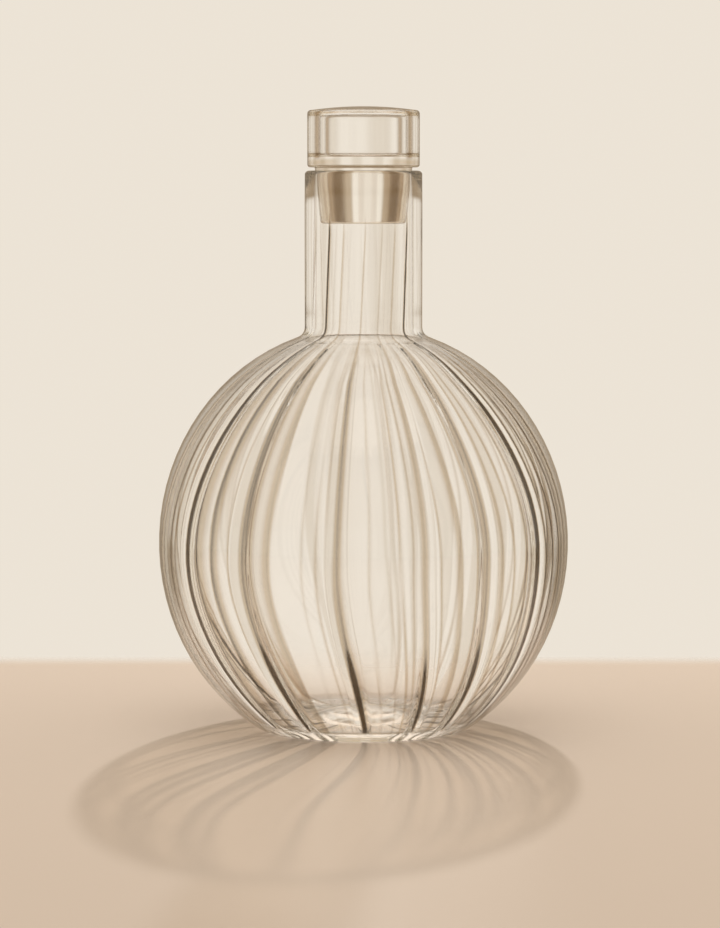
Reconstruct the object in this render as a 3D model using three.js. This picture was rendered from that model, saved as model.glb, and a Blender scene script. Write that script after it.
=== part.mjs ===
// Round ribbed glass decanter with a lift-out glass stopper.
// Millimetres, +Z up. The origin is the centre of the base, on the surface that the decanter stands on.
// The flask is one blown shell: an egg-round globe on a flat ring, a straight neck and a rounded lip.
// Its outside is smooth. Ribs run down the inside of the neck and the globe, as in optic-blown glass.
// The stopper is a solid tapered plug under a solid disc, with a hollow knob fused on top of the disc.
import * as THREE from "three";

// Globe
const GLOBE_RADIUS = 75;
const GLOBE_HALF_HEIGHT = 79.4;
const GLOBE_WALL = 2.6;

// Floor: a low dome in the middle, and a heel all round it that runs up into the wall
const FLOOR_THICKNESS = 3.6;
const FLOOR_DOME = 3.5;
const FLOOR_RADIUS = 19;
const HEEL_RADIUS = 42;

// Foot: the globe is cut flat where it stands, and its middle is pushed up a little
const FOOT_RADIUS = 38.9;
const FOOT_EDGE = 1.6;
const FOOT_RING_WIDTH = 8;
const PUSH_UP = 2;

// Neck
const FLASK_HEIGHT = 203.5;
const NECK_RADIUS = 21.4;
const NECK_WALL = 3.3;
const NECK_FILLET = 3;
const BORE_FILLET = 6;

// Ribs: their height is given at the globe's middle, and shrinks with the radius as their width does
const RIB_COUNT = 16;
const RIB_HEIGHT = 0.8;
const RIB_ARC = THREE.MathUtils.degToRad(8);
const RIB_TURN = THREE.MathUtils.degToRad(-7.5);
const RIB_FADE_BELOW_PLUG = 12;
const RIB_FADE_ON_HEEL = 5;

// Stopper
const PLUG_LENGTH = 20.3;
const PLUG_TAPER = 0.2;
const PLUG_TIP_EDGE = 1.2;
const PLUG_CLEARANCE = 0.45;
const SEAT_GAP = 1.2;
const KNOB_RADIUS = 20.4;
const KNOB_WALL = 4.4;
const KNOB_ROOF = 2.7;
const KNOB_CROWN = 1.35;
const KNOB_HEIGHT = 18.3;
const KNOB_EDGE = 1.5;
const KNOB_CAVITY_EDGE = 1.4;
const DISC_HEIGHT = 3.7;
const DISC_EDGE = 1.2;

// Steps of the round shapes
const ELLIPSE_STEPS = 13;
const EDGE_STEPS = 3;
const HEEL_STEPS = 6;
const LIP_STEPS = 6;
const CROWN_STEPS = 4;
const STOPPER_SEGMENTS = 64;

const point = (radius, height) => new THREE.Vector2(radius, height);

// Evenly turned points of an ellipse about (0, centre), between two of its angles
function ellipse(radius, halfHeight, centre, from, to, steps) {
  const curve = new THREE.EllipseCurve(0, centre, radius, halfHeight, from, to, to < from);
  return curve.getPoints(steps);
}

// Points of a rounded corner that runs from one side to the other
function corner(before, at, after, steps = EDGE_STEPS) {
  return new THREE.QuadraticBezierCurve(before, at, after).getPoints(steps);
}

// A shallow dome from the axis out to a radius, or back when read in reverse
function dome(edgeRadius, edgeHeight, rise, steps) {
  const curve = new THREE.QuadraticBezierCurve(
    point(0, edgeHeight + rise),
    point(edgeRadius / 2, edgeHeight + rise),
    point(edgeRadius, edgeHeight),
  );
  return curve.getPoints(steps);
}

// The angle at which an ellipse has a radius: negative below its middle, positive above it
const angleAt = (radius, ellipseRadius) => Math.acos(radius / ellipseRadius);

// A profile turned about +Z. The profile runs up the outside and back down the inside.
function turned(profile, segments) {
  return new THREE.LatheGeometry(profile, segments).rotateX(Math.PI / 2);
}

// The globe's middle is as high as its cut foot needs
const footAngle = -angleAt(FOOT_RADIUS, GLOBE_RADIUS);
const globeCentre = -GLOBE_HALF_HEIGHT * Math.sin(footAngle);
const boreRadius = NECK_RADIUS - NECK_WALL;
const hollowRadius = GLOBE_RADIUS - GLOBE_WALL;
const hollowHalfHeight = GLOBE_HALF_HEIGHT - GLOBE_WALL;

// Stopper heights, from the lip up and down
const discBottom = FLASK_HEIGHT + SEAT_GAP;
const discTop = discBottom + DISC_HEIGHT;
const plugTip = discBottom - PLUG_LENGTH;

// Flask, outside: push-up, foot ring, globe, neck
function flaskOutside() {
  const footInner = FOOT_RADIUS - FOOT_RING_WIDTH;
  const aboveFoot = -angleAt(FOOT_RADIUS + FOOT_EDGE, GLOBE_RADIUS);
  const belowNeck = angleAt(NECK_RADIUS + NECK_FILLET, GLOBE_RADIUS);
  const globe = ellipse(GLOBE_RADIUS, GLOBE_HALF_HEIGHT, globeCentre, aboveFoot, belowNeck, ELLIPSE_STEPS);
  const neckRoot = globeCentre + GLOBE_HALF_HEIGHT * Math.sin(angleAt(NECK_RADIUS, GLOBE_RADIUS));
  return [
    ...dome(footInner, 0, PUSH_UP, CROWN_STEPS),
    ...corner(point(FOOT_RADIUS - FOOT_EDGE, 0), point(FOOT_RADIUS, 0), globe[0]),
    ...globe.slice(1, -1),
    ...corner(globe.at(-1), point(NECK_RADIUS, neckRoot), point(NECK_RADIUS, neckRoot + NECK_FILLET)),
  ];
}

// Flask, lip: the wall's full round at the mouth
function flaskLip() {
  const round = new THREE.EllipseCurve(
    (NECK_RADIUS + boreRadius) / 2,
    FLASK_HEIGHT - NECK_WALL / 2,
    NECK_WALL / 2,
    NECK_WALL / 2,
    0,
    Math.PI,
  );
  return round.getPoints(LIP_STEPS);
}

// The heel's round between the wall of the hollow, which runs into it smoothly, and the floor's edge
function heel(wallAngle) {
  const wall = point(hollowRadius * Math.cos(wallAngle), globeCentre + hollowHalfHeight * Math.sin(wallAngle));
  const slope = (hollowHalfHeight / hollowRadius) / -Math.tan(wallAngle);
  const turn = Math.max(FLOOR_RADIUS, wall.x - (wall.y - FLOOR_THICKNESS) / slope);
  return corner(wall, point(turn, FLOOR_THICKNESS), point(FLOOR_RADIUS, FLOOR_THICKNESS), HEEL_STEPS);
}

// Flask, inside: bore, hollow of the globe, heel, floor
function flaskInside() {
  const belowBore = angleAt(boreRadius + BORE_FILLET, hollowRadius);
  const boreRoot = globeCentre + hollowHalfHeight * Math.sin(angleAt(boreRadius, hollowRadius));
  const wallAngle = -angleAt(HEEL_RADIUS, hollowRadius);
  const hollow = ellipse(hollowRadius, hollowHalfHeight, globeCentre, belowBore, wallAngle, ELLIPSE_STEPS);
  return [
    point(boreRadius, plugTip),
    point(boreRadius, plugTip - RIB_FADE_BELOW_PLUG),
    ...corner(point(boreRadius, boreRoot + BORE_FILLET), point(boreRadius, boreRoot), hollow[0]),
    ...hollow.slice(1, -1),
    ...heel(wallAngle),
    ...dome(FLOOR_RADIUS, FLOOR_THICKNESS, FLOOR_DOME, CROWN_STEPS).reverse().slice(1),
  ];
}

// Turning angles of the flask's meridians: five over each rib, and one in the middle of each panel
function meridians() {
  const pitch = (2 * Math.PI) / RIB_COUNT;
  const overRib = [-1, -0.5, 0, 0.5, 1].map((share) => (share * RIB_ARC) / 2);
  return Array.from({ length: RIB_COUNT }, (_, rib) =>
    [...overRib, pitch / 2].map((offset) => ({ angle: RIB_TURN + rib * pitch + offset, offset })),
  ).flat();
}

// How far a rib stands in from the inner wall, by its offset across the rib and its place on the wall
function ribRise(offset, radius, height) {
  const across = Math.min(1, Math.abs(offset) / (RIB_ARC / 2));
  const fade = THREE.MathUtils.clamp((plugTip - height) / RIB_FADE_BELOW_PLUG, 0, 1);
  const onWall = THREE.MathUtils.clamp((radius - FLOOR_RADIUS) / RIB_FADE_ON_HEEL, 0, 1);
  const nearFloor = height < globeCentre ? onWall : 1;
  return RIB_HEIGHT * (radius / hollowRadius) * fade * nearFloor * Math.cos((across * Math.PI) / 2) ** 2;
}

// The flask's lathe shape, with its meridians moved to the ribs and its inner wall raised on them
function flaskGeometry() {
  const outside = [...flaskOutside(), ...flaskLip()];
  const profile = [...outside, ...flaskInside()];
  const turns = meridians();
  const geometry = new THREE.LatheGeometry(profile, turns.length);
  const position = geometry.getAttribute("position");
  for (let vertex = 0; vertex < position.count; vertex += 1) {
    const { angle, offset } = turns[Math.floor(vertex / profile.length) % turns.length];
    const along = vertex % profile.length;
    const { x: radius, y: height } = profile[along];
    const onInside = along >= outside.length && along < profile.length - 1;
    const ribbed = onInside ? radius - ribRise(offset, radius, height) : radius;
    position.setXYZ(vertex, ribbed * Math.sin(angle), height, ribbed * Math.cos(angle));
  }
  return geometry.rotateX(Math.PI / 2);
}

// Stopper plug: a tapered solid that hangs in the bore, with the disc that sits over the lip
function plugGeometry() {
  const mouthRadius = boreRadius - PLUG_CLEARANCE;
  const tipRadius = mouthRadius - (PLUG_LENGTH * PLUG_TAPER) / 2;
  const lowerEdge = corner(
    point(KNOB_RADIUS - DISC_EDGE, discBottom),
    point(KNOB_RADIUS, discBottom),
    point(KNOB_RADIUS, discBottom + DISC_EDGE),
  );
  const tipEdge = corner(
    point(tipRadius - PLUG_TIP_EDGE, plugTip),
    point(tipRadius, plugTip),
    point(tipRadius + (PLUG_TIP_EDGE * PLUG_TAPER) / 2, plugTip + PLUG_TIP_EDGE),
  );
  return turned(
    [
      point(0, plugTip),
      ...tipEdge,
      point(mouthRadius, discBottom),
      ...lowerEdge,
      point(KNOB_RADIUS, discTop),
      point(0, discTop),
    ],
    STOPPER_SEGMENTS,
  );
}

// Stopper knob: a thick-walled hollow cap with a low crown, fused by its rim to the disc
function knobGeometry() {
  const cavityRadius = KNOB_RADIUS - KNOB_WALL;
  const shoulder = discTop + KNOB_HEIGHT - KNOB_CROWN;
  const ceiling = discTop + KNOB_HEIGHT - KNOB_ROOF;
  const crown = dome(KNOB_RADIUS - KNOB_EDGE, shoulder, KNOB_CROWN, CROWN_STEPS).reverse();
  const shoulderEdge = corner(
    point(KNOB_RADIUS, shoulder - KNOB_EDGE),
    point(KNOB_RADIUS, shoulder),
    crown[0],
  );
  const cavityEdge = corner(
    point(cavityRadius - KNOB_CAVITY_EDGE, ceiling),
    point(cavityRadius, ceiling),
    point(cavityRadius, ceiling - KNOB_CAVITY_EDGE),
  );
  return turned(
    [
      point(cavityRadius, discTop),
      point(KNOB_RADIUS, discTop),
      ...shoulderEdge,
      ...crown.slice(1),
      point(0, ceiling),
      ...cavityEdge,
      point(cavityRadius, discTop),
    ],
    STOPPER_SEGMENTS,
  );
}

// Clear glass with a faint warm cast
function clearGlass() {
  return new THREE.MeshStandardMaterial({
    color: 0xf1ebe0,
    roughness: 0.03,
    metalness: 0,
    transparent: true,
    opacity: 0.35,
  });
}

function piece(name, geometry) {
  const mesh = new THREE.Mesh(geometry, clearGlass());
  mesh.name = name;
  return mesh;
}

const stopper = new THREE.Group();
stopper.add(piece("stopper_plug", plugGeometry()), piece("stopper_knob", knobGeometry()));

const decanter = new THREE.Group();
decanter.add(piece("flask", flaskGeometry()), stopper);

export default decanter;
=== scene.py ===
# %% [markdown]
# # A ribbed glass decanter
# The decanter is two things: a blown flask and the stopper that closes it. The CAD model gives their
# places and sizes. Here both are made again as smooth glass, with the small unevenness of handwork.
# Everything is in metres, +Z is up, and the origin is the middle of the foot.

# %% Load the frame
import functools
import math

import bpy
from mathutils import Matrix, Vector


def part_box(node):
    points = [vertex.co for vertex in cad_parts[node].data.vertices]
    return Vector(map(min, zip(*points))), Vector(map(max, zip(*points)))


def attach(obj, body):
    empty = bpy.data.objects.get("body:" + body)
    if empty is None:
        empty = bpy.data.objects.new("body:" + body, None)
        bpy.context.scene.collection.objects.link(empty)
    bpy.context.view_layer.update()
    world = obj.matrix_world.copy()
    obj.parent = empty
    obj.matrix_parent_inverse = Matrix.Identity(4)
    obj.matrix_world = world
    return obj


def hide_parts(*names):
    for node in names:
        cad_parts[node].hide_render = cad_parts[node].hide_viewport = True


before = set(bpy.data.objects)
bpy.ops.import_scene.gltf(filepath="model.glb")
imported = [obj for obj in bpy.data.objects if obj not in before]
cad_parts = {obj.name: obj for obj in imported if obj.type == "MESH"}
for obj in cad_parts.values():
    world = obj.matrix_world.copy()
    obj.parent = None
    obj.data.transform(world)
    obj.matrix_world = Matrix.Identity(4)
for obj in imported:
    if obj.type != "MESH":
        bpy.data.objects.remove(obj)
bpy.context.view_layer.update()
flask_low, flask_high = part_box("flask")
plug_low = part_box("stopper_plug")[0]
knob_low, knob_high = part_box("stopper_knob")
MM = 0.001

# %% [markdown]
# ## The camera
# The picture was taken with a long lens from just above the lip, so upright lines stay upright. The
# focal length in pixels and the eye's height follow from the ellipses of the foot and the knob. The
# camera tilts down a little, which needs no lens shift, so it frames the object well from any side.

# %% Camera
IMAGE_WIDTH = 720
IMAGE_HEIGHT = 928
FOCAL_PIXELS = 3237
EYE_ROW = 185
AXIS_COLUMN = 363.5
CAMERA_DISTANCE = 1.180
CAMERA_HEIGHT = 0.1983
CAMERA_REACH = 100
SENSOR_WIDTH = 36

tilt = math.atan((IMAGE_HEIGHT / 2 - EYE_ROW) / FOCAL_PIXELS)
side_step = (AXIS_COLUMN - IMAGE_WIDTH / 2) / FOCAL_PIXELS * CAMERA_DISTANCE
bpy.ops.object.select_all(action="DESELECT")
bpy.ops.object.camera_add(
    location=(-side_step, -CAMERA_DISTANCE, CAMERA_HEIGHT),
    rotation=(math.pi / 2 - tilt, 0, 0),
)
camera = bpy.context.object
camera.name = "camera"
camera.data.sensor_fit = "HORIZONTAL"
camera.data.sensor_width = SENSOR_WIDTH
camera.data.lens = FOCAL_PIXELS / IMAGE_WIDTH * SENSOR_WIDTH
camera.data.clip_end = CAMERA_REACH
bpy.context.scene.camera = camera
bpy.context.scene.view_settings.view_transform = "Standard"
print("Camera tilts down", round(math.degrees(tilt), 2), "degrees, lens", round(camera.data.lens, 1), "mm")

# %% [markdown]
# ## Maths for shaders
# A material is a graph of nodes. Written one by one they hide the idea, so a small class wraps a
# socket and lets Python's own operators add the Math nodes. One method makes every other node. The Mix
# node has sockets for numbers, vectors and colours under the same names, so its colours go by number.

# %% Shader maths
MIX_COLOUR_A = 6
MIX_COLOUR_B = 7
MIX_COLOUR_RESULT = 2


class Wire:
    """An output socket in a node tree, which can be used in a sum."""

    def __init__(self, tree, socket=None):
        self.tree = tree
        self.socket = socket

    def node(self, kind, settings=None, inputs=None, output=0):
        made = self.tree.nodes.new(kind)
        for name, value in (settings or {}).items():
            setattr(made, name, value)
        for name, value in (inputs or {}).items():
            if isinstance(value, Wire):
                self.tree.links.new(value.socket, made.inputs[name])
            else:
                made.inputs[name].default_value = value
        return Wire(self.tree, made.outputs[output] if made.outputs else None)

    def maths(self, operation, *values):
        return self.node("ShaderNodeMath", {"operation": operation}, dict(enumerate(values)))

    def __add__(self, other):
        return self.maths("ADD", self, other)

    def __radd__(self, other):
        return self.maths("ADD", other, self)

    def __sub__(self, other):
        return self.maths("SUBTRACT", self, other)

    def __rsub__(self, other):
        return self.maths("SUBTRACT", other, self)

    def __mul__(self, other):
        return self.maths("MULTIPLY", self, other)

    def __rmul__(self, other):
        return self.maths("MULTIPLY", other, self)

    def cosine(self):
        return self.maths("COSINE", self)

    def larger(self, other):
        return self.maths("MAXIMUM", self, other)

    def step(self, low, high):
        """0 below low, 1 above high, and a smooth rise between."""
        return self.node(
            "ShaderNodeMapRange",
            {"interpolation_type": "SMOOTHSTEP"},
            {"Value": self, "From Min": low, "From Max": high},
        )

    def between(self, colour_a, colour_b):
        """A colour between two others, by this value."""
        return self.node(
            "ShaderNodeMix",
            {"data_type": "RGBA"},
            {"Factor": self, MIX_COLOUR_A: colour_a, MIX_COLOUR_B: colour_b},
            output=MIX_COLOUR_RESULT,
        )


def empty_tree(owner):
    owner.use_nodes = True
    owner.node_tree.nodes.clear()
    return Wire(owner.node_tree)


print("Shader maths:", [name for name in vars(Wire) if not name.startswith("__")])

# %% [markdown]
# ## The floor
# Glass shows what stands round it, so the set is part of its look. The floor is plain and pale, with
# a soft satin. It ends a little behind the decanter, more softly for what the glass shows than for
# the eye, and past its edge both see the background. The lamps still find it everywhere. A thick
# foot gathers light, which a path tracer finds too slowly, so the floor under it is paler and glows
# a little.

# %% Floor
FLOOR_COLOUR = (0.70, 0.58, 0.48, 1)
FLOOR_ROUGHNESS = 0.38
FLOOR_SIZE = 40
FLOOR_DROP = 0.0002
FLOOR_EDGE = 0.164
FLOOR_EDGE_SOFTNESS = 0.015
EDGE_FOR_EYE = (FLOOR_EDGE - FLOOR_EDGE_SOFTNESS, FLOOR_EDGE + FLOOR_EDGE_SOFTNESS)
EDGE_FOR_GLASS = (0.02, 0.20)
FLOOR_REACH = (0.7, 1.6)
UNDER_FOOT_COLOUR = (0.98, 0.90, 0.82, 1)
UNDER_FOOT = (0.030, 0.040)
UNDER_FOOT_GLOW = 0.5
NO_GLOW = (0, 0, 0, 1)


def seen_ray(tree):
    """1 for rays from the eye, also by way of glass or a reflection, and 0 for the rest."""
    camera_ray = tree.node("ShaderNodeLightPath", output="Is Camera Ray")
    glossy_ray = tree.node("ShaderNodeLightPath", output="Is Glossy Ray")
    through_glass = tree.node("ShaderNodeLightPath", output="Is Transmission Ray")
    return camera_ray.larger(glossy_ray).larger(through_glass)


def floor_material():
    material = bpy.data.materials.new("pale_floor")
    tree = empty_tree(material)
    place = tree.node("ShaderNodeTexCoord", output="Object")
    across = tree.node("ShaderNodeSeparateXYZ", inputs={0: place}, output="Y")
    distance = tree.node("ShaderNodeVectorMath", {"operation": "LENGTH"}, {0: place}, output="Value")
    eye = tree.node("ShaderNodeLightPath", output="Is Camera Ray")
    behind = eye * across.step(*EDGE_FOR_EYE) + (1 - eye) * across.step(*EDGE_FOR_GLASS)
    past_floor = behind.larger(distance.step(*FLOOR_REACH))
    under = distance.step(*UNDER_FOOT)
    satin = tree.node(
        "ShaderNodeBsdfPrincipled",
        inputs={
            "Base Color": under.between(UNDER_FOOT_COLOUR, FLOOR_COLOUR),
            "Roughness": FLOOR_ROUGHNESS,
            "Emission Color": under.between(UNDER_FOOT_COLOUR, NO_GLOW),
            "Emission Strength": UNDER_FOOT_GLOW,
        },
    )
    open_air = tree.node("ShaderNodeBsdfTransparent")
    shader = tree.node("ShaderNodeMixShader", inputs={0: past_floor * seen_ray(tree), 1: satin, 2: open_air})
    tree.node("ShaderNodeOutputMaterial", inputs={"Surface": shader})
    return material


bpy.ops.object.select_all(action="DESELECT")
bpy.ops.mesh.primitive_plane_add(size=FLOOR_SIZE, location=(0, 0, -FLOOR_DROP))
floor = bpy.context.object
floor.name = "floor"
floor.data.materials.append(floor_material())
print("Floor of", FLOOR_SIZE, "m, its edge", FLOOR_EDGE, "m behind the axis")

# %% [markdown]
# ## The background
# The eye sees one plain warm white all round. Glass with up to four surfaces in a row shows nearly the
# same, in soft waves, so the flask and the hollow knob are clear from every side. The seated plug and
# the neck round it have six. For rays that cross so many, the background is a ring that turns from
# warm white through taupe to a dark olive and back, once every 45 degrees. What the glass mirrors on
# its outside, or low down inside its wall, is a dim brown, which darkens the edges of the globe.

# %% Background colours
BACKDROP_COLOUR = (0.84, 0.77, 0.67, 1)
BRIGHT_COLOUR = (0.88, 0.81, 0.71, 1)
SUNNY_COLOUR = (0.95, 0.89, 0.79, 1)
STRIPE_COLOUR = (0.78, 0.70, 0.60, 1)
MIDDLE_COLOUR = (0.50, 0.39, 0.27, 1)
DARK_COLOUR = (0.20, 0.13, 0.065, 1)
OVERHEAD_COLOUR = (0.93, 0.87, 0.78, 1)
MIRROR_COLOUR = (0.28, 0.19, 0.10, 1)
WAVE_COLOUR = (0.76, 0.68, 0.57, 1)
RING_REPEATS = 8
RING_SHIFT = math.radians(3)
STRIPES_PER_REPEAT = 5
WAVE_REPEATS = 24
SUNNY_FADE = (0.4, 0.85)
STRIPE_FADE = (-1.0, 0.6)
DARK_FADE = (-1.0, -0.5)
LIT_FADE = (-0.25, 0.25)


def ring_colour(bearing):
    """What shows through the seated plug in a direction."""
    ring = (bearing * RING_REPEATS).cosine()
    stripes = (bearing * (RING_REPEATS * STRIPES_PER_REPEAT)).cosine()
    crest = ring.step(*SUNNY_FADE).between(SUNNY_COLOUR, BRIGHT_COLOUR)
    lit = stripes.step(*STRIPE_FADE).between(STRIPE_COLOUR, crest)
    dim = ring.step(*DARK_FADE).between(DARK_COLOUR, MIDDLE_COLOUR)
    return ring.step(*LIT_FADE).between(dim, lit)


def wave_colour(bearing):
    """What shows through thin glass in a direction."""
    waves = (bearing * WAVE_REPEATS).cosine()
    return waves.step(*STRIPE_FADE).between(WAVE_COLOUR, BRIGHT_COLOUR)


print("Background colours:", RING_REPEATS, "repeats of the ring and", WAVE_REPEATS, "soft waves")

# %% Background
MANY_CROSSED = (4.5, 5.5)
MANY_MIRRORED = (3.0, 4.0)
OVERHEAD_FADE = (0.2, 0.5)
LOW_FADE = (-0.12, -0.06)
MIRROR_SHARE = 0.75
WALL_MIRROR_SHARE = 0.9
FILL_STRENGTH = 0.8
GLASS_BOUNCES = 64


def some(count):
    """0 for a count of none, 1 for one or more."""
    return count.step(0.0, 1.0)


def studio_world():
    world = bpy.data.worlds.new("studio")
    bpy.context.scene.world = world
    tree = empty_tree(world)
    direction = tree.node("ShaderNodeTexCoord", output="Generated")
    east = tree.node("ShaderNodeSeparateXYZ", inputs={0: direction}, output="X")
    north = tree.node("ShaderNodeSeparateXYZ", inputs={0: direction}, output="Y")
    up = tree.node("ShaderNodeSeparateXYZ", inputs={0: direction}, output="Z")
    bearing = RING_SHIFT + east.maths("ARCTAN2", east, north)
    crossed = tree.node("ShaderNodeLightPath", output="Transmission Depth")
    beyond = crossed.step(*MANY_CROSSED).between(wave_colour(bearing), ring_colour(bearing))
    all_round = up.step(*OVERHEAD_FADE).between(beyond, OVERHEAD_COLOUR)
    mirrored = tree.node("ShaderNodeLightPath", output="Glossy Depth")
    on_glass = some(mirrored) * (1 - some(crossed))
    in_wall = some(mirrored) * (1 - mirrored.step(*MANY_MIRRORED)) * some(crossed)
    low = 1 - up.step(*LOW_FADE)
    dimmed = on_glass * MIRROR_SHARE + in_wall * low * WALL_MIRROR_SHARE
    shown = dimmed.between(all_round, MIRROR_COLOUR)
    eye = tree.node("ShaderNodeLightPath", output="Is Camera Ray")
    seen = tree.node("ShaderNodeBackground", inputs={"Color": eye.between(shown, BACKDROP_COLOUR)})
    fill = tree.node("ShaderNodeBackground", inputs={"Color": BACKDROP_COLOUR, "Strength": FILL_STRENGTH})
    both = tree.node("ShaderNodeMixShader", inputs={0: seen_ray(tree), 1: fill, 2: seen})
    tree.node("ShaderNodeOutputWorld", inputs={"Surface": both})


studio_world()
cycles = bpy.context.scene.cycles
cycles.max_bounces = GLASS_BOUNCES
cycles.transmission_bounces = GLASS_BOUNCES
cycles.glossy_bounces = GLASS_BOUNCES
print("Background:", bpy.context.scene.world.name, "with", GLASS_BOUNCES, "bounces in the glass")

# %% [markdown]
# ## The light
# One small lamp stands behind the decanter and above it, so the ribs throw their shadows towards the
# eye. A wide lamp overhead lifts the rest. The glass shows neither, only what they light.

# %% Lamps
BACK_LAMP = {"size": 0.05, "place": (0.10, 1.10, 0.80), "power": 11}
TOP_LAMP = {"size": 1.6, "place": (0, -0.4, 2.2), "power": 8}
LAMP_TARGET = (0, 0, 0.05)


def soft_lamp(name, size, place, power):
    bpy.ops.object.select_all(action="DESELECT")
    bpy.ops.object.light_add(type="AREA", location=place)
    lamp = bpy.context.object
    lamp.name = name
    lamp.data.shape = "DISK"
    lamp.data.size = size
    lamp.data.energy = power
    lamp.visible_glossy = False
    lamp.visible_transmission = False
    lamp.rotation_euler = (Vector(place) - Vector(LAMP_TARGET)).to_track_quat("Z", "Y").to_euler()
    return lamp


back_lamp = soft_lamp("back_lamp", **BACK_LAMP)
top_lamp = soft_lamp("top_lamp", **TOP_LAMP)
print("Lamps:", back_lamp.name, top_lamp.name)

# %% [markdown]
# ## The flask
# A blown flask is the same all the way round, so it is drawn once as the edge of its cut wall and
# spun about the axis. The line starts under the foot, runs up the outside, over the lip and down
# the inside to the floor. Its ends lie on the axis, so the spun skin closes.


# %% Profile tools
def ellipse_arc(radius, half_height, centre, start, end, steps):
    """Points of an upright ellipse about the axis, by its own angle from the equator."""
    angles = [start + (end - start) * k / steps for k in range(steps + 1)]
    return [(radius * math.cos(a), centre + half_height * math.sin(a)) for a in angles]


def rounded(before, corner, after, steps):
    """Points of a round corner between two sides."""
    points = []
    for k in range(steps + 1):
        t = k / steps
        weights = ((1 - t) ** 2, 2 * t * (1 - t), t**2)
        points.append(tuple(sum(w * p[i] for w, p in zip(weights, (before, corner, after))) for i in (0, 1)))
    return points


def straight(start, end, steps):
    """The points between two ends, without the ends."""
    return [tuple(a + (b - a) * k / steps for a, b in zip(start, end)) for k in range(1, steps)]


print("A round corner of 2 steps:", rounded((0, 0), (1, 0), (1, 1), 2))

# %% Flask sizes
GLOBE_RADIUS = (flask_high[0] - flask_low[0]) / 2
LIP_HEIGHT = flask_high[2]
GLOBE_HALF_HEIGHT = 79.4 * MM
GLOBE_WALL = 2.6 * MM
FOOT_RADIUS = 38.9 * MM
FOOT_EDGE = 1.6 * MM
FOOT_RING_WIDTH = 8 * MM
PUSH_UP = 2 * MM
NECK_RADIUS = 21.4 * MM
NECK_WALL = 3.3 * MM
NECK_FILLET = 3 * MM
BORE_FILLET = 6 * MM
FLOOR_THICKNESS = 3.6 * MM
FLOOR_DOME = 3.5 * MM
FLOOR_RADIUS = 19 * MM
HEEL_RADIUS = 42 * MM

plug_tip = plug_low[2]
bore_radius = NECK_RADIUS - NECK_WALL
hollow_radius = GLOBE_RADIUS - GLOBE_WALL
hollow_half_height = GLOBE_HALF_HEIGHT - GLOBE_WALL
globe_centre = GLOBE_HALF_HEIGHT * math.sqrt(1 - (FOOT_RADIUS / GLOBE_RADIUS) ** 2)
neck_root = globe_centre + GLOBE_HALF_HEIGHT * math.sqrt(1 - (NECK_RADIUS / GLOBE_RADIUS) ** 2)
print("Globe's middle at", round(globe_centre / MM, 1), "mm, neck root at", round(neck_root / MM, 1), "mm")

# %% Flask profile
PUSH_UP_STEPS = 6
FOOT_EDGE_STEPS = 4
GLOBE_STEPS = 30
NECK_FILLET_STEPS = 6
NECK_STEPS = 5
LIP_STEPS = 10
SEAT_STEPS = 3
BORE_STEPS = 10
BORE_FILLET_STEPS = 7
HOLLOW_STEPS = 46
HEEL_STEPS = 14
DOME_STEPS = 8


def outside_line():
    start = -math.acos((FOOT_RADIUS + FOOT_EDGE) / GLOBE_RADIUS)
    end = math.acos((NECK_RADIUS + NECK_FILLET) / GLOBE_RADIUS)
    globe = ellipse_arc(GLOBE_RADIUS, GLOBE_HALF_HEIGHT, globe_centre, start, end, GLOBE_STEPS)
    ring = FOOT_RADIUS - FOOT_RING_WIDTH
    neck_start = (NECK_RADIUS, neck_root + NECK_FILLET)
    line = rounded((0, PUSH_UP), (ring / 2, PUSH_UP), (ring, 0), PUSH_UP_STEPS)
    line += rounded((FOOT_RADIUS - FOOT_EDGE, 0), (FOOT_RADIUS, 0), globe[0], FOOT_EDGE_STEPS)
    line += globe[1:-1]
    line += rounded(globe[-1], (NECK_RADIUS, neck_root), neck_start, NECK_FILLET_STEPS)
    line += straight(neck_start, (NECK_RADIUS, LIP_HEIGHT - NECK_WALL / 2), NECK_STEPS)
    return line


def lip_line():
    turns = [math.pi * k / LIP_STEPS for k in range(LIP_STEPS + 1)]
    middle = (NECK_RADIUS + bore_radius) / 2
    half = NECK_WALL / 2
    return [(middle + half * math.cos(a), LIP_HEIGHT - half + half * math.sin(a)) for a in turns]


def heel_line(wall_angle):
    """From the wall of the hollow, round the heel, to the edge of the domed floor."""
    wall = (hollow_radius * math.cos(wall_angle), globe_centre + hollow_half_height * math.sin(wall_angle))
    slope = hollow_half_height / hollow_radius / -math.tan(wall_angle)
    turn = wall[0] - (wall[1] - FLOOR_THICKNESS) / slope
    return rounded(wall, (turn, FLOOR_THICKNESS), (FLOOR_RADIUS, FLOOR_THICKNESS), HEEL_STEPS)


def inside_line():
    root = globe_centre + hollow_half_height * math.sqrt(1 - (bore_radius / hollow_radius) ** 2)
    start = math.acos((bore_radius + BORE_FILLET) / hollow_radius)
    end = -math.acos(HEEL_RADIUS / hollow_radius)
    bore_end = (bore_radius, root + BORE_FILLET)
    line = straight((bore_radius, LIP_HEIGHT - NECK_WALL / 2), (bore_radius, plug_tip), SEAT_STEPS)
    line += straight((bore_radius, plug_tip), bore_end, BORE_STEPS)
    hollow = ellipse_arc(hollow_radius, hollow_half_height, globe_centre, start, end, HOLLOW_STEPS)
    line += rounded(bore_end, (bore_radius, root), hollow[0], BORE_FILLET_STEPS)
    line += hollow[1:-1]
    line += heel_line(end)
    top = FLOOR_THICKNESS + FLOOR_DOME
    line += rounded(line[-1], (FLOOR_RADIUS / 2, top), (0, top), DOME_STEPS)[1:]
    return line


flask_profile = outside_line() + lip_line()[1:] + inside_line()
print("Flask profile:", len(flask_profile), "points")

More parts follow.
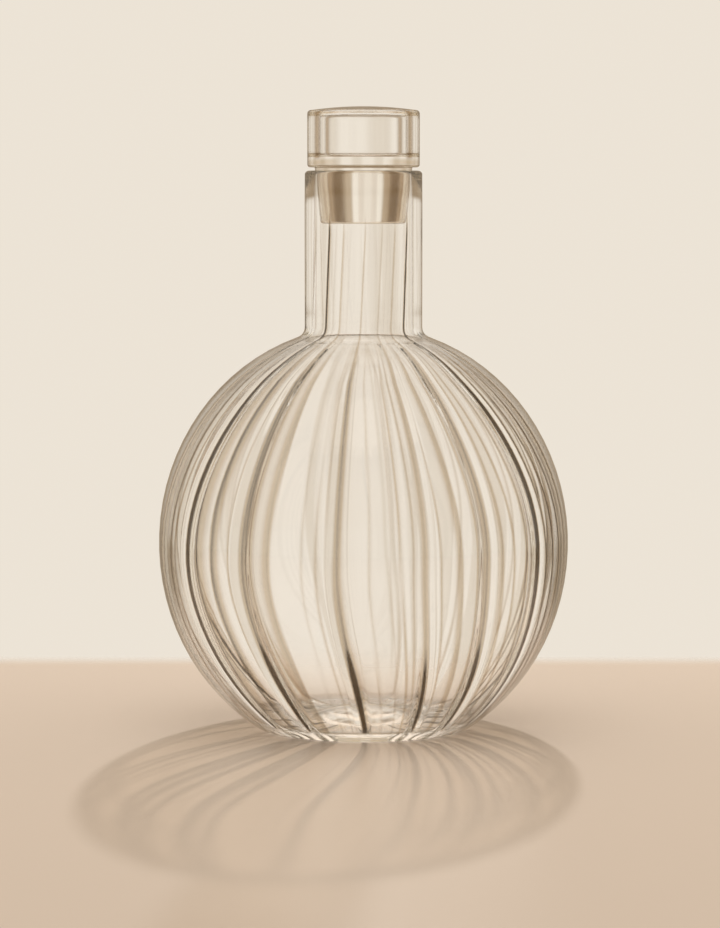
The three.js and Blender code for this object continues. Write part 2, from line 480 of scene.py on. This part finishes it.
# %% [markdown]
# The line is drawn from one vertex, extruded point by point, and a Screw modifier spins it. Its
# number of steps suits the ribs: each rib gets a fixed share of them, and so does each plain panel
# between two ribs. RIBS holds each rib's place at the globe's middle, in degrees from the front, half
# its width in degrees, and how dark its line is.

# %% Draw and spin
RIB_STEPS = 20
PANEL_STEPS = 20
RIBS = (
    (-57.4, 4.2, 3.20), (-36.3, 4.6, 0.75), (-7.1, 3.8, 0.70), (17.6, 4.0, 0.52),
    (36.8, 4.6, 0.68), (56.7, 4.2, 3.20), (78.0, 3.8, 0.80), (102.0, 4.2, 0.60),
    (126.0, 4.0, 0.25), (147.5, 3.8, 0.15), (170.0, 3.8, 0.15), (195.0, 3.8, 0.15),
    (226.5, 4.4, 0.25), (248.0, 4.0, 0.60), (267.0, 4.0, 0.60), (284.0, 3.8, 0.80),
)
FLASK_STEPS = len(RIBS) * (RIB_STEPS + PANEL_STEPS)
SEAM_WELD = 0.002 * MM


def draw_line(name, points):
    """A bare line of edges in the XZ plane, extruded point by point from one vertex."""
    bpy.ops.object.select_all(action="DESELECT")
    bpy.ops.mesh.primitive_plane_add(size=MM)
    made = bpy.context.object
    made.name = name
    made.data.name = name
    bpy.ops.object.mode_set(mode="EDIT")
    bpy.ops.mesh.merge(type="CENTER")
    bpy.ops.transform.translate(value=(points[0][0], 0, points[0][1]))
    for before, after in zip(points, points[1:]):
        move = (after[0] - before[0], 0, after[1] - before[1])
        bpy.ops.mesh.extrude_region_move(TRANSFORM_OT_translate={"value": move})
    bpy.ops.object.mode_set(mode="OBJECT")
    return made


def spin_line(made, steps):
    """Spins the line once round the axis and closes the seam and the poles."""
    screw = made.modifiers.new("spin", "SCREW")
    screw.axis = "Z"
    screw.angle = 2 * math.pi
    screw.screw_offset = 0
    screw.steps = steps
    screw.render_steps = steps
    bpy.ops.object.modifier_apply(modifier=screw.name)
    bpy.ops.object.mode_set(mode="EDIT")
    bpy.ops.mesh.select_all(action="SELECT")
    bpy.ops.mesh.remove_doubles(threshold=SEAM_WELD)
    bpy.ops.mesh.normals_make_consistent(inside=False)
    bpy.ops.object.mode_set(mode="OBJECT")
    bpy.ops.object.shade_smooth()


flask = draw_line("flask_glass", flask_profile)
spin_line(flask, FLASK_STEPS)
print("Flask:", len(flask.data.polygons), "faces")

# %% [markdown]
# ## The ribs
# The ribs stand on the inside of the glass. They aren't quite straight: drawing out the hot globe
# pulled them towards the front and back at the shoulder and the foot, made them lean, and turned them
# a little in the neck. One function gives a rib's place at any height, and the painted streaks of
# shade beside the ribs follow it too.

# %% Rib courses
SHOULDER_PULL = 14
FOOT_PULL = 8
PULL_EASE = 0.35
SHOULDER_DRIFT = -1.3
FOOT_DRIFT = 9.6
LEAN_TURN = 3
TWIST_START = 128 * MM
TWIST_PER_METRE = 150
RIB_WANDER = 0.5
WANDER_WAVES = 2.5


@functools.lru_cache(maxsize=None)
def strayed(angle, height):
    """Where a rib or streak lies at a height, in degrees from the front."""
    climb = max(-1, min(1, (height - globe_centre) / (neck_root - globe_centre)))
    bend = (math.hypot(climb, PULL_EASE) - PULL_EASE) / (math.hypot(1, PULL_EASE) - PULL_EASE)
    near_side = math.tanh(LEAN_TURN * math.cos(math.radians(angle)))
    drift = bend * (SHOULDER_DRIFT if climb > 0 else FOOT_DRIFT)
    pull = bend * (SHOULDER_PULL if climb > 0 else FOOT_PULL)
    twist = TWIST_PER_METRE * max(0, min(height, plug_tip) - TWIST_START)
    wander = RIB_WANDER * math.sin(WANDER_WAVES * climb + angle)
    shift = near_side * (drift - pull * math.sin(math.radians(angle)))
    return angle + shift + twist + wander


def rib_angle(number, height):
    return strayed(RIBS[number][0], height)


def meridian(number, height):
    """A meridian's angle at a height, its rib, and how far it is from the rib's crest in half widths."""
    rib, place = divmod(number, RIB_STEPS + PANEL_STEPS)
    half_width = RIBS[rib][1]
    if place <= RIB_STEPS:
        across = 2 * place / RIB_STEPS - 1
        return rib_angle(rib, height) + across * half_width, rib, across
    following = (rib + 1) % len(RIBS)
    start = rib_angle(rib, height) + half_width
    end = rib_angle(following, height) - RIBS[following][1] + (360 if following == 0 else 0)
    angle = start + (end - start) * (place - RIB_STEPS) / PANEL_STEPS
    return angle, rib, (angle - rib_angle(rib, height)) / half_width


print("First rib at the globe's middle and the neck:", rib_angle(0, globe_centre), rib_angle(0, neck_root))

# %% [markdown]
# A rib is highest at the globe's widest place and shrinks with the radius, as its width does. It fades
# out on the floor and below the plug, and is shallow in the neck.

# %% Rib heights
RIB_HEIGHT = 0.8 * MM
RIB_USUAL_HALF_WIDTH = 4
RIB_UNEVENNESS = 0.2
UNEVEN_WAVES = 2.1
UNEVEN_START = 0.5
RIB_FADE_BELOW_PLUG = 4 * MM
RIB_FADE_ON_HEEL = 5 * MM
NECK_RIB_SHARE = 0.12


def along_wall(radius, height, neck_share):
    """1 on the globe's wall, a share of that in the neck, and 0 at the plug and on the floor."""
    fade = max(0, min(1, (plug_tip - height) / RIB_FADE_BELOW_PLUG))
    if height > TWIST_START:
        fade *= 1 - (1 - neck_share) * min(1, (height - TWIST_START) / (neck_root - TWIST_START))
    if height < globe_centre:
        fade = max(0, min(1, (radius - FLOOR_RADIUS) / RIB_FADE_ON_HEEL))
    return fade


def rib_rise(rib, across, radius, height):
    """How far the wall is raised at a place across a rib, which has a round section."""
    if abs(across) >= 1:
        return 0
    section = math.cos(across * math.pi / 2) ** 2
    unevenness = 1 + RIB_UNEVENNESS * math.sin(UNEVEN_WAVES * rib + UNEVEN_START)
    width = RIBS[rib][1] / RIB_USUAL_HALF_WIDTH
    full = RIB_HEIGHT * unevenness * width * radius / hollow_radius
    return section * full * along_wall(radius, height, NECK_RIB_SHARE)


print("First rib at the globe's middle:", rib_rise(0, 0, hollow_radius, globe_centre) / MM, "mm")

# %% [markdown]
# In the real glass a rib shows as a dark line, because it bends the light away. So each rib gets a
# painted shade: a dark core, a soft wing to one side, and a painted glint to the other. Painted dark
# streaks lie between the ribs on the inner wall, and a few on the outer wall at the two sides, where
# the inner wall turns into a mirror and can't show the ribs' dark lines. A streak has its place, its
# width in degrees and its depth. It is soft to the right, or to the left where the width is negative,
# and sharp on its other side.

# %% Rib and streak shades
CORE_SHADE = 0.85
CORE_WIDTH = 0.30
WING_SHADE = 0.35
WING_WIDTH = 1.3
WING_EDGE = 0.2
# Painted highlight: a lighter line beside each rib's core.
GLINT = 0.5
GLINT_PLACE = 0.55
GLINT_WIDTH = 0.2
MIDDLE_SHADE = 0.9
LOW_SHADE = 0.85
LOW_START = 40 * MM
LOW_END = 26 * MM
NECK_SHADE_SHARE = 0.5
NECK_STREAK_SHARE = 0.2
STREAK_EDGE = 0.4
STREAK_REACH = 3
# Painted shade: dark streaks on the inner wall.
STREAKS = (
    (-53.7, 0.5, 0.80), (-52.5, 3.5, 0.45), (-47.2, 2.8, 0.80), (-40.3, 0.5, 0.48), (-34.2, 0.5, 0.45),
    (-33.0, 2.0, 0.35), (-26.3, -2.5, 0.62), (-17.9, 0.5, 0.34), (-13.0, 0.5, 0.36), (-11.0, 0.5, 0.30),
    (-9.6, 0.8, 0.40), (1.0, 0.7, 0.25), (7.1, 0.6, 0.25), (10.5, 0.5, 0.46), (13.3, 0.5, 0.32),
    (21.1, 0.5, 0.45), (27.5, -1.8, 0.56), (32.4, 0.6, 0.38), (39.5, 2.2, 0.40), (42.1, 0.5, 0.45),
    (45.6, 0.6, 0.60), (51.0, 0.6, 0.75),
)
# Painted shade: dark streaks on the outer wall at the two sides.
SIDE_STREAKS = (
    (-76.5, 1.5, 0.85), (-67.8, 0.8, 1.00), (-63.8, 0.6, 0.60),
    (60.2, 0.8, 1.00), (64.0, 0.8, 1.15), (69.0, 0.9, 1.15), (74.8, 1.6, 1.00),
)
OUTER_STREAKS = SIDE_STREAKS + tuple((180 - angle, width, depth) for angle, width, depth in SIDE_STREAKS)


def rib_shade(rib, across, height):
    """How dark a rib looks, with its wing towards the front or the back, whichever is nearer."""
    angle = RIBS[rib][0]
    depth = RIBS[rib][2]
    climb = min(1, abs(height - globe_centre) / (neck_root - globe_centre))
    course = MIDDLE_SHADE + (1 - MIDDLE_SHADE) * math.sin(climb * math.pi / 2) ** 2
    course += LOW_SHADE * max(0, min(1, (LOW_START - height) / (LOW_START - LOW_END)))
    side = -across * math.copysign(1, math.sin(math.radians(2 * angle)))
    core = CORE_SHADE * math.exp(-((side / CORE_WIDTH) ** 2))
    wing = WING_SHADE * math.exp(-side / WING_WIDTH if side > 0 else side / WING_EDGE)
    glint = GLINT * math.exp(-(((side + GLINT_PLACE) / GLINT_WIDTH) ** 2))
    return course * (depth * core + min(1, depth) * wing - glint)


def streak_shade(streaks, degrees, height):
    """How dark the streaks make a place."""
    shade = 0
    for angle, width, depth in streaks:
        gap = (degrees - strayed(angle, height) + 180) % 360 - 180
        reach = abs(width) if gap * width > 0 else min(abs(width), STREAK_EDGE)
        if abs(gap) < STREAK_REACH * reach:
            shade += depth * math.exp(-((gap / reach) ** 2))
    return shade


def inner_shade(rib, across, degrees, radius, height):
    """How dark the inner wall is at a place, by the ribs to both sides of it and the streaks."""
    following = (rib + 1) % len(RIBS)
    gap = (rib_angle(following, height) - degrees) % 360 / RIBS[following][1]
    ribbed = rib_shade(rib, across, height) + rib_shade(following, -gap, height)
    streaked = streak_shade(STREAKS, degrees, height)
    rib_fade = along_wall(radius, height, NECK_SHADE_SHARE)
    return rib_fade * ribbed + along_wall(radius, height, NECK_STREAK_SHARE) * streaked


def outer_shade(degrees, radius, height):
    """How dark the outer wall is at a place, below the neck."""
    if height >= neck_root:
        return 0
    return along_wall(radius, height, NECK_STREAK_SHARE) * streak_shade(OUTER_STREAKS, degrees, height)


print("Streaks:", len(STREAKS), "on the inner wall,", len(OUTER_STREAKS), "on the outer wall")

# %% [markdown]
# The spun meridians are combed so that each rib has its own dense strip of them, which follows the rib
# as it strays. No operator does that, so the vertices are moved in code. Then every vertex of the
# inner wall gets a weight by the rib's rise, and a Displace modifier raises the wall by it. The shade
# becomes an attribute of the mesh, which the glass reads.

# %% Comb and raise
RIB_WEIGHT_UNIT = 2 * MM


def comb_ribs(made):
    """Moves the meridians to the ribs, and lists each vertex's rise and shade."""
    rises = []
    shades = []
    normals = [vertex.normal.copy() for vertex in made.data.vertices]
    for vertex, normal in zip(made.data.vertices, normals):
        x, y, z = vertex.co
        radius = math.hypot(x, y)
        number = round(math.degrees(math.atan2(x, -y)) * FLASK_STEPS / 360) % FLASK_STEPS
        degrees, rib, across = meridian(number, z)
        inward = normal.x * x + normal.y * y < 0 and z > FLOOR_THICKNESS
        if inward:
            rises.append(rib_rise(rib, across, radius, z))
            shades.append(inner_shade(rib, across, degrees, radius, z))
        else:
            rises.append(0)
            shades.append(outer_shade(degrees, radius, z))
        angle = math.radians(degrees)
        vertex.co = (radius * math.sin(angle), -radius * math.cos(angle), z)
    return rises, shades


def raise_ribs(made):
    rises, shades = comb_ribs(made)
    group = made.vertex_groups.new(name="ribs")
    for index, rise in enumerate(rises):
        if rise > 0:
            group.add([index], rise / RIB_WEIGHT_UNIT, "REPLACE")
    relief = made.modifiers.new("ribs", "DISPLACE")
    relief.vertex_group = group.name
    relief.mid_level = 0
    relief.strength = RIB_WEIGHT_UNIT
    bpy.ops.object.select_all(action="DESELECT")
    made.select_set(True)
    bpy.context.view_layer.objects.active = made
    bpy.ops.object.modifier_apply(modifier=relief.name)
    depths = made.data.attributes.new("shade", "FLOAT", "POINT")
    depths.data.foreach_set("value", shades)
    return sum(rise > 0 for rise in rises)


print("Vertices on ribs:", raise_ribs(flask))

# %% [markdown]
# ## The stopper
# The stopper is one fused piece of glass: a tapered plug, a disc and a hollow knob. The outside and
# the hollow are two spun lines in one object, and the hollow's faces look into its air.

# %% Stopper sizes
STOPPER_STEPS = 256
KNOB_RADIUS = (knob_high[0] - knob_low[0]) / 2
KNOB_WALL = 4.4 * MM
KNOB_ROOF = 2.7 * MM
KNOB_CROWN = 1.35 * MM
KNOB_EDGE = 1.5 * MM
CAVITY_EDGE = 1.4 * MM
SEAT_GAP = 1.2 * MM
DISC_EDGE = 1.2 * MM
PLUG_CLEARANCE = 0.45 * MM
PLUG_TAPER = 0.2
PLUG_TIP_EDGE = 1.2 * MM
WAIST_FILLET = 0.5 * MM
FACE_STEPS = 6
SMALL_CORNER_STEPS = 6
CORNER_STEPS = 8
PLUG_STEPS = 8
WAIST_STEPS = 3
KNOB_STEPS = 10
CROWN_STEPS = 16
CAVITY_STEPS = 8

disc_top = knob_low[2]
disc_bottom = LIP_HEIGHT + SEAT_GAP
knob_top = knob_high[2]
print("Stopper from", round(plug_tip / MM, 1), "to", round(knob_top / MM, 1), "mm")


# %% Stopper
def stopper_outside():
    mouth = bore_radius - PLUG_CLEARANCE
    tip = mouth - (disc_bottom - plug_tip) * PLUG_TAPER / 2
    tip_face = (tip - PLUG_TIP_EDGE, plug_tip)
    tip_side = (tip + PLUG_TIP_EDGE * PLUG_TAPER / 2, plug_tip + PLUG_TIP_EDGE)
    plug_end = (mouth, disc_bottom - WAIST_FILLET)
    waist = (mouth + WAIST_FILLET, disc_bottom)
    disc_face = (KNOB_RADIUS - DISC_EDGE, disc_bottom)
    disc_side = (KNOB_RADIUS, disc_bottom + DISC_EDGE)
    shoulder = knob_top - KNOB_CROWN
    knob_end = (KNOB_RADIUS, shoulder - KNOB_EDGE)
    crown_edge = (KNOB_RADIUS - KNOB_EDGE, shoulder)
    line = [(0, plug_tip)]
    line += straight(line[-1], tip_face, FACE_STEPS)
    line += rounded(tip_face, (tip, plug_tip), tip_side, SMALL_CORNER_STEPS)
    line += straight(tip_side, plug_end, PLUG_STEPS)
    line += rounded(plug_end, (mouth, disc_bottom), waist, WAIST_STEPS)
    line += rounded(disc_face, (KNOB_RADIUS, disc_bottom), disc_side, CORNER_STEPS)
    line += straight(disc_side, knob_end, KNOB_STEPS)
    line += rounded(knob_end, (KNOB_RADIUS, shoulder), crown_edge, CORNER_STEPS)
    line += rounded(crown_edge, (crown_edge[0] / 2, knob_top), (0, knob_top), CROWN_STEPS)[1:]
    return line


def stopper_hollow():
    radius = KNOB_RADIUS - KNOB_WALL
    ceiling = knob_top - KNOB_ROOF
    inset = radius - CAVITY_EDGE
    wall_low = (radius, disc_top + CAVITY_EDGE)
    wall_high = (radius, ceiling - CAVITY_EDGE)
    line = [(0, disc_top)]
    line += straight(line[-1], (inset, disc_top), FACE_STEPS)
    line += rounded((inset, disc_top), (radius, disc_top), wall_low, SMALL_CORNER_STEPS)
    line += straight(wall_low, wall_high, CAVITY_STEPS)
    line += rounded(wall_high, (radius, ceiling), (inset, ceiling), SMALL_CORNER_STEPS)
    line += straight((inset, ceiling), (0, ceiling), FACE_STEPS)
    line.append((0, ceiling))
    return line


stopper = draw_line("stopper_glass", stopper_outside())
spin_line(stopper, STOPPER_STEPS)
hollow = draw_line("stopper_hollow", stopper_hollow())
spin_line(hollow, STOPPER_STEPS)
bpy.ops.object.mode_set(mode="EDIT")
bpy.ops.mesh.select_all(action="SELECT")
bpy.ops.mesh.flip_normals()
bpy.ops.object.mode_set(mode="OBJECT")
bpy.ops.object.select_all(action="DESELECT")
hollow.select_set(True)
stopper.select_set(True)
bpy.context.view_layer.objects.active = stopper
bpy.ops.object.join()
print("Stopper:", len(stopper.data.polygons), "faces")

# %% [markdown]
# ## The glass
# Clear glass with a faint warm cast and the fine upright waves of drawn glass. Where the eye meets it
# at a slant, painted shade darkens its tint: in bands on the plug and the knob, towards the edge of the
# globe, and in a thin rim round the neck and the knob. The painted shade of the ribs and streaks
# darkens it from a brown wing to an almost black core. A real shadow of glass is light inside and dark
# where the glass bends the light away. A path tracer would need very long to find that light, so the
# rays to the lamps go straight through, and only edges, ribs and streaks hold some of them.

# %% Glass colours
GLASS_IOR = 1.5
GLASS_TINT = (0.995, 0.991, 0.984, 1)
BODY_TINT = (0.93, 0.87, 0.75, 1)
BODY_DENSITY = 6
# Painted shade: upright bands on the plug and narrower ones on the knob, darkened by the angle to the eye.
PLUG_SHADE = (0.70, 0.61, 0.50, 1)
PLUG_BAND = (0.06, 0.18)
PLUG_BAND_END = (0.45, 0.6)
PLUG_BAND_LOSS = 0.6
KNOB_SHADE = (0.30, 0.21, 0.13, 1)
KNOB_BAND = (0.30, 0.42)
KNOB_BAND_END = (0.46, 0.58)
KNOB_BAND_LOSS = 0.9
# Painted shade: the globe darkens towards its edge, and the neck and the knob in a thin dark rim, by the
# angle to the eye.
LIMB_SHADE = (0.11, 0.075, 0.036, 1)
LIMB_FADE = (0.6, 0.92)
GLOBE_START = (0.1 * globe_centre, 0.3 * globe_centre)
GLOBE_END = (0.9 * neck_root, neck_root)
RIM_SHADE = (0.14, 0.09, 0.045, 1)
RIM_FADE = (0.64, 0.92)
# Painted shade of the ribs and streaks, from a brown wing to an almost black core.
WING_TINT = (0.52, 0.41, 0.29, 1)
WING_FADE = (0.0, 0.5)
CORE_TINT = (0.006, 0.0025, 0.0006, 1)
CORE_FADE = (0.45, 1.0)


def shade_banded_tint(facing, height, plug_shade, knob_shade):
    """The clear glass, with upright bands of painted shade on the plug and narrower, darker ones on the
    knob.
    """
    on_knob = height.step(disc_top - KNOB_EDGE, disc_top)
    plug_band = facing.step(*PLUG_BAND) * (1 - PLUG_BAND_LOSS * facing.step(*PLUG_BAND_END))
    knob_band = facing.step(*KNOB_BAND) * (1 - KNOB_BAND_LOSS * facing.step(*KNOB_BAND_END))
    plugged = ((1 - on_knob) * plug_band).between(GLASS_TINT, plug_shade)
    return (on_knob * knob_band).between(plugged, knob_shade)


def edge_shaded_tint(facing, height, tint):
    """Painted shade: a tint that deepens towards the edge of the globe, and in a thin rim elsewhere."""
    on_globe = height.step(*GLOBE_START) * (1 - height.step(*GLOBE_END))
    limbed = (facing.step(*LIMB_FADE) * on_globe).between(tint, LIMB_SHADE)
    return (facing.step(*RIM_FADE) * (1 - on_globe)).between(limbed, RIM_SHADE)


print("Tints: clear glass", GLASS_TINT[:3], "to the ribs' core", CORE_TINT[:3])

# %% Glass
STRIA_SCALE = 30
STRIA_LENGTH = 6
STRIA_DEPTH = 0.003 * MM
STRIA_DETAIL = 1
SHADOW_TINT = (0.91, 0.88, 0.84, 1)
RIB_SHADOW = 0.95
RIB_SHADOW_FADE = (0.1, 0.5)
EDGE_SHADOW = 0.7
EDGE_SHADOW_FADE = (0.6, 1.0)


def striae(tree, place, height):
    """The faint upright waves that drawing out the hot glass leaves in it."""
    level = tree.node("ShaderNodeVectorMath", {"operation": "MULTIPLY"}, {0: place, 1: (1, 1, 0)})
    outward = tree.node("ShaderNodeVectorMath", {"operation": "NORMALIZE"}, {0: level})
    along = tree.node("ShaderNodeCombineXYZ", inputs={"Z": height * STRIA_LENGTH})
    spread = tree.node("ShaderNodeVectorMath", {"operation": "SCALE"}, {0: outward, "Scale": STRIA_SCALE})
    course = tree.node("ShaderNodeVectorMath", {"operation": "ADD"}, {0: spread, 1: along})
    noise = {"Vector": course, "Scale": 1, "Detail": STRIA_DETAIL}
    return tree.node("ShaderNodeTexNoise", inputs=noise, output="Fac")


def glass_material(name, plug_shade, knob_shade):
    material = bpy.data.materials.new(name)
    tree = empty_tree(material)
    facing = tree.node("ShaderNodeLayerWeight", output="Facing")
    shade = tree.node("ShaderNodeAttribute", {"attribute_name": "shade"}, output="Fac")
    place = tree.node("ShaderNodeTexCoord", output="Object")
    height = tree.node("ShaderNodeSeparateXYZ", inputs={0: place}, output="Z")
    edged = edge_shaded_tint(facing, height, shade_banded_tint(facing, height, plug_shade, knob_shade))
    winged = shade.step(*WING_FADE).between(edged, WING_TINT)
    waves = striae(tree, place, height)
    glass = tree.node(
        "ShaderNodeBsdfPrincipled",
        inputs={
            "Base Color": shade.step(*CORE_FADE).between(winged, CORE_TINT),
            "Roughness": 0.0,
            "IOR": GLASS_IOR,
            "Transmission Weight": 1.0,
            "Normal": tree.node("ShaderNodeBump", inputs={"Height": waves, "Distance": STRIA_DEPTH}),
        },
    )
    lamp_ray = tree.node("ShaderNodeLightPath", output="Is Shadow Ray")
    past_ribs = 1 - shade.step(*RIB_SHADOW_FADE) * RIB_SHADOW
    past_edges = 1 - facing.step(*EDGE_SHADOW_FADE) * EDGE_SHADOW
    clear = tree.node("ShaderNodeBsdfTransparent", inputs={"Color": SHADOW_TINT})
    lit_through = lamp_ray * (past_ribs * past_edges)
    shader = tree.node("ShaderNodeMixShader", inputs={0: lit_through, 1: glass, 2: clear})
    body = tree.node("ShaderNodeVolumeAbsorption", inputs={"Color": BODY_TINT, "Density": BODY_DENSITY})
    tree.node("ShaderNodeOutputMaterial", inputs={"Surface": shader, "Volume": body})
    return material


flask.data.materials.append(glass_material("flask_glass", GLASS_TINT, GLASS_TINT))
stopper.data.materials.append(glass_material("stopper_glass", PLUG_SHADE, KNOB_SHADE))
print("Glass on", flask.name, "and", stopper.name)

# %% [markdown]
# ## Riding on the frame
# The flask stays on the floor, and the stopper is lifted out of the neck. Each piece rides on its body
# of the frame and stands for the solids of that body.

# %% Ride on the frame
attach(flask, "flask")
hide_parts("flask")
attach(stopper, "stopper")
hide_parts("stopper_plug", "stopper_knob")

# %% [markdown]
# ## Sizes
# The glass has to be as large as the solids that it stands for.
